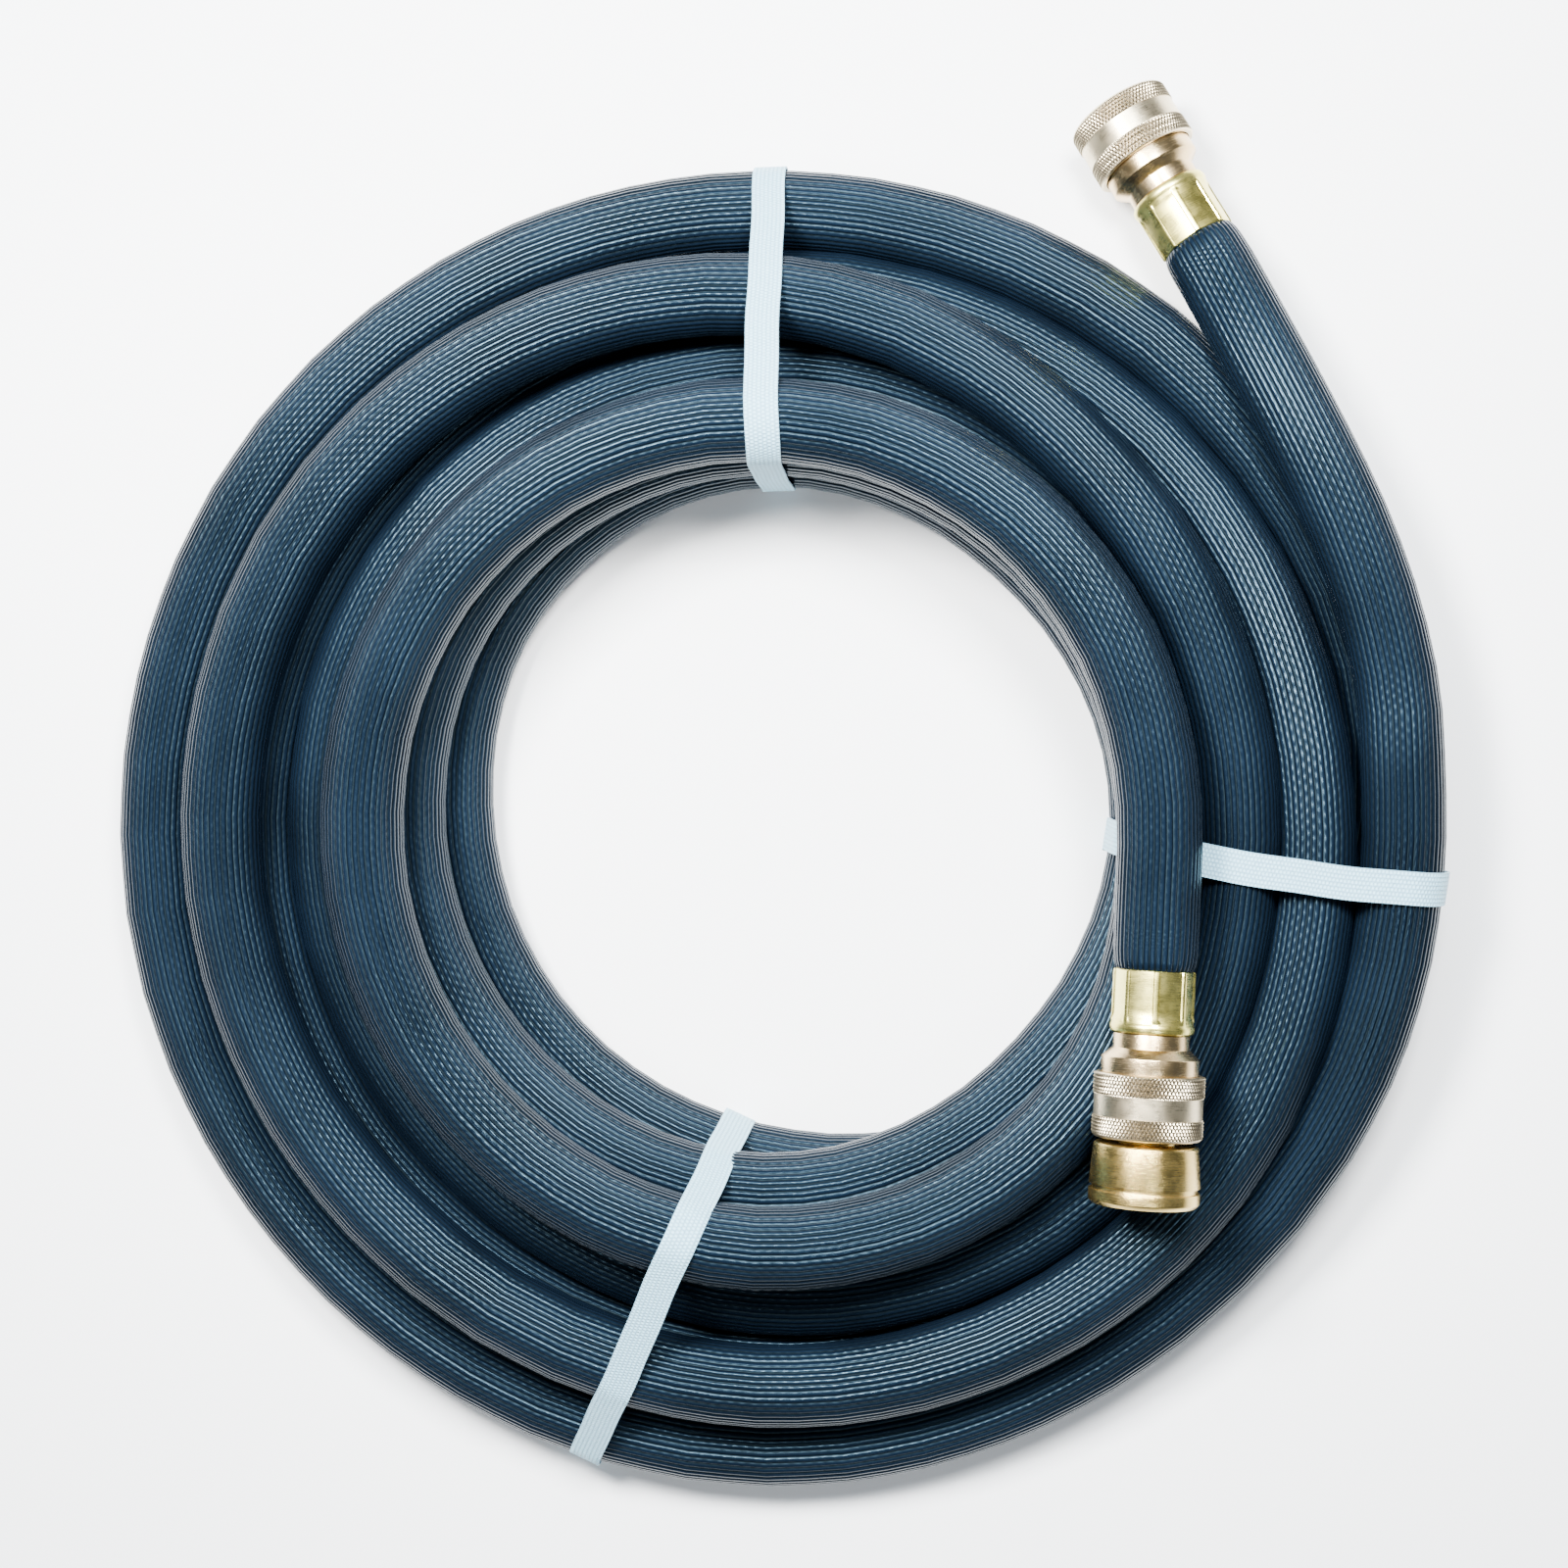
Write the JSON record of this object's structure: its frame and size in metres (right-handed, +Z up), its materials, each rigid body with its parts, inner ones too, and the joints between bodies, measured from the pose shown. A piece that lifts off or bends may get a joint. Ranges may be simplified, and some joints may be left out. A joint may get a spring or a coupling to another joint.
{
  "type": "garden hose with click-on connectors",
  "caption": "Coiled ribbed rubber hose tied with woven straps, with crimped brass click-on connectors and a brass tap adaptor.",
  "frame": {"origin": "centre of the whole object's outline on the floor that the coil lies on", "axes": "+Z up from the floor; +Y towards the end of the coil that connector A passes; +X to the right seen from above with +Y away"},
  "size_m": [0.4092, 0.4309, 0.0819],
  "materials": {
    "hose_rubber": "matt black rubber with fine lengthwise ribs",
    "strap_webbing": "white woven polyester tape",
    "ferrule_brass": "bright yellow pressed brass",
    "satin_brass": "satin turned brass",
    "collar_brass": "knurled satin brass",
    "adaptor_brass": "golden turned brass with fine tool rings",
    "spring_steel": "plain spring steel",
    "seal_rubber": "matt black seal rubber"
  },
  "bodies": {
    "hose": {"hose_coil": "hose_rubber", "hose_tail_a": "hose_rubber", "hose_tail_b": "hose_rubber", "strap_top": "strap_webbing", "strap_right": "strap_webbing", "strap_lower": "strap_webbing", "ferrule_a": "ferrule_brass", "connector_body_a": "satin_brass", "circlip_a": "spring_steel", "collar_spring_a": "spring_steel", "ferrule_b": "ferrule_brass", "connector_body_b": "satin_brass", "circlip_b": "spring_steel", "collar_spring_b": "spring_steel"},
    "collar_a": {"collar_a": "collar_brass"},
    "jaw_a_1": {"jaw_a_1": "satin_brass"},
    "jaw_a_2": {"jaw_a_2": "satin_brass"},
    "jaw_a_3": {"jaw_a_3": "satin_brass"},
    "collar_b": {"collar_b": "collar_brass"},
    "jaw_b_1": {"jaw_b_1": "satin_brass"},
    "jaw_b_2": {"jaw_b_2": "satin_brass"},
    "jaw_b_3": {"jaw_b_3": "satin_brass"},
    "tap_adaptor": {"tap_adaptor": "adaptor_brass", "plug_seal": "seal_rubber", "tap_washer": "seal_rubber"}
  },
  "joints": [
    {"name": "collar_a_slide", "type": "slide", "parent": "hose", "child": "collar_a", "axis": [0.4975, -0.8561, 0.1399], "range_m": [0, 0.0035], "stiffness_N_per_m": 2500, "springref_m": -0.004, "deforming": ["collar_spring_a"]},
    {"name": "jaw_a_1_lift", "type": "slide", "parent": "hose", "child": "jaw_a_1", "axis": [-0.0703, 0.1209, 0.9902], "range_m": [0, 0.001]},
    {"name": "jaw_a_2_lift", "type": "slide", "parent": "hose", "child": "jaw_a_2", "axis": [0.7839, 0.3747, -0.4951], "range_m": [0, 0.001]},
    {"name": "jaw_a_3_lift", "type": "slide", "parent": "hose", "child": "jaw_a_3", "axis": [-0.7136, -0.4956, -0.4951], "range_m": [0, 0.001]},
    {"name": "collar_b_slide", "type": "slide", "parent": "hose", "child": "collar_b", "axis": [0.051, 0.9974, -0.05], "range_m": [0, 0.0035], "stiffness_N_per_m": 2500, "springref_m": -0.004, "deforming": ["collar_spring_b"]},
    {"name": "jaw_b_1_lift", "type": "slide", "parent": "hose", "child": "jaw_b_1", "axis": [0.0026, 0.05, 0.9987], "range_m": [0, 0.001]},
    {"name": "jaw_b_2_lift", "type": "slide", "parent": "hose", "child": "jaw_b_2", "axis": [-0.8662, 0.0193, -0.4994], "range_m": [0, 0.001]},
    {"name": "jaw_b_3_lift", "type": "slide", "parent": "hose", "child": "jaw_b_3", "axis": [0.8636, -0.0692, -0.4994], "range_m": [0, 0.001]},
    {"name": "tap_adaptor_swivel", "type": "hinge", "parent": "hose", "child": "tap_adaptor", "pos_m": [0.11364, -0.10785, 0.0656], "axis": [-0.051, -0.9974, 0.05], "continuous": true}
  ],
  "couplings": [
    {"joint": "jaw_a_1_lift", "follows": "collar_a_slide", "ratio": 0.28571},
    {"joint": "jaw_a_2_lift", "follows": "collar_a_slide", "ratio": 0.28571},
    {"joint": "jaw_a_3_lift", "follows": "collar_a_slide", "ratio": 0.28571},
    {"joint": "jaw_b_1_lift", "follows": "collar_b_slide", "ratio": 0.28571},
    {"joint": "jaw_b_2_lift", "follows": "collar_b_slide", "ratio": 0.28571},
    {"joint": "jaw_b_3_lift", "follows": "collar_b_slide", "ratio": 0.28571}
  ]
}
